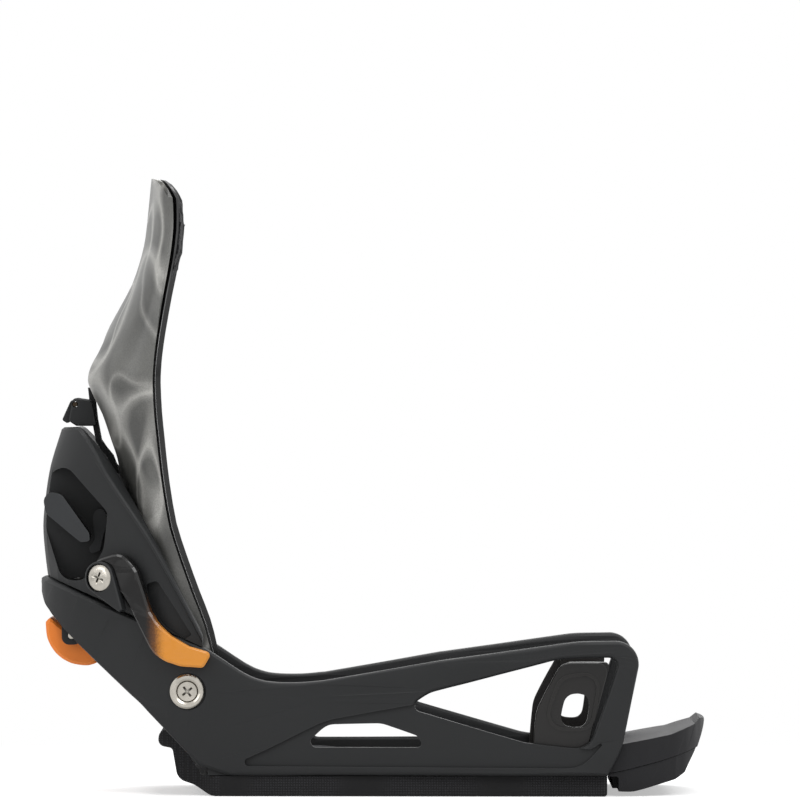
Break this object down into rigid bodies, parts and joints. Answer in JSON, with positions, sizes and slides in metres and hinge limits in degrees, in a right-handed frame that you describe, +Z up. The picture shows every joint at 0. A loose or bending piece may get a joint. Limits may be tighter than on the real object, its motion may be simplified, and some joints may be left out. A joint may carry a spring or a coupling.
{
  "type": "step-in snowboard binding",
  "caption": "Right-foot step-in snowboard binding: windowed rails, heel housing with a sprung latch, toe hooks, folding highback, release lever and sliding toe ramp.",
  "frame": {"origin": "centre of the stance disc's underside, on the board's top face", "axes": "+X towards the toe, +Y towards the inner side of the foot, +Z up from the board"},
  "size_m": [0.3089, 0.1238, 0.2852],
  "materials": {
    "nylon_black": "fine-textured glass-filled nylon",
    "hook_black": "satin moulded",
    "highback_silver": "soft-sheen silver grey film",
    "core_black": "polished edge",
    "pad_knit": "woven cover over foam",
    "footbed_foam": "fine-textured foam",
    "rubber_black": "fine grid texture",
    "ramp_black": "matte moulded",
    "disc_black": "moulded",
    "nylon_grey": "moulded",
    "lever_gloss": "black fading to orange under gloss",
    "orange_nylon": "moulded",
    "steel": "zinc plated",
    "steel_dark": "blackened",
    "brass": "plain"
  },
  "bodies": {
    "baseplate": {"baseplate": "nylon_black", "heel_housing": "nylon_black", "base_pad": "rubber_black", "footbed_heel": "footbed_foam", "footbed_toe": "footbed_foam", "claw_spring": "steel", "rear_lever_pin": "steel", "toe_hook_right": "hook_black", "toe_hook_left": "hook_black", "toe_hook_screw_right": "steel", "toe_hook_screw_left": "steel", "ear_bolt_right": "steel", "ear_bolt_left": "steel", "ear_washer_right": "steel", "ear_washer_left": "steel", "ear_nut_right": "steel", "ear_nut_left": "steel", "toggle_spring_right": "steel", "toggle_spring_left": "steel"},
    "stance_disc": {"stance_disc": "disc_black", "disc_screw_rear_right": "steel", "disc_screw_rear_left": "steel", "disc_screw_front_right": "steel", "disc_screw_front_left": "steel"},
    "highback": {"highback_shell": "highback_silver", "highback_core": "core_black", "highback_pad": "pad_knit", "lean_rail": "nylon_black"},
    "lean_block": {"lean_block": "nylon_black", "lean_pin": "brass"},
    "lean_lever": {"lean_lever": "nylon_black"},
    "release_lever": {"release_lever": "lever_gloss", "lever_hub": "nylon_black", "lever_screw": "steel"},
    "toggle": {"toggle_right": "nylon_grey", "toggle_left": "nylon_grey", "toggle_pin": "steel"},
    "claw": {"latch_claw": "steel_dark", "latch_shaft": "steel", "latch_crank_right": "steel_dark", "latch_crank_left": "steel_dark"},
    "rear_lever": {"rear_lever": "orange_nylon"},
    "toe_ramp": {"toe_ramp_tread": "ramp_black", "toe_ramp_block": "ramp_black"}
  },
  "joints": [
    {"name": "stance_turn", "type": "hinge", "parent": "baseplate", "child": "stance_disc", "pos_m": [0, 0, 0.012], "axis": [0, 0, 1], "continuous": true},
    {"name": "highback_fold", "type": "hinge", "parent": "baseplate", "child": "highback", "pos_m": [-0.0934, 0, 0.0483], "axis": [0, 1, 0], "range_deg": [0, 75]},
    {"name": "lean_slide", "type": "slide", "parent": "highback", "child": "lean_block", "axis": [-0.1435, 0, 0.9897], "range_m": [0, 0.008]},
    {"name": "lean_lever_flip", "type": "hinge", "parent": "lean_block", "child": "lean_lever", "pos_m": [-0.1466, 0, 0.1803], "axis": [0, 1, 0], "range_deg": [0, 70]},
    {"name": "release_lever_pull", "type": "hinge", "parent": "baseplate", "child": "release_lever", "pos_m": [-0.1305, -0.04184, 0.1005], "axis": [-0.497, -0.8678, 0], "range_deg": [0, 50], "stiffness_Nm_per_rad": 0.3, "springref_deg": -17.19},
    {"name": "toggle_turn", "type": "hinge", "parent": "baseplate", "child": "toggle", "pos_m": [-0.1564, 0, 0.1343], "axis": [0, -1, 0], "range_deg": [0, 25]},
    {"name": "claw_swing", "type": "hinge", "parent": "baseplate", "child": "claw", "pos_m": [-0.1344, 0, 0.1274], "axis": [0, 1, 0], "range_deg": [0, 35]},
    {"name": "rear_lever_flip", "type": "hinge", "parent": "baseplate", "child": "rear_lever", "pos_m": [-0.148, 0, 0.073], "axis": [0, -1, 0], "range_deg": [0, 70]},
    {"name": "toe_ramp_slide", "type": "slide", "parent": "baseplate", "child": "toe_ramp", "axis": [1, 0, 0], "range_m": [0, 0.012]}
  ],
  "couplings": [
    {"joint": "claw_swing", "follows": "release_lever_pull", "ratio": 0.7},
    {"joint": "toggle_turn", "follows": "release_lever_pull", "ratio": 0.5}
  ]
}
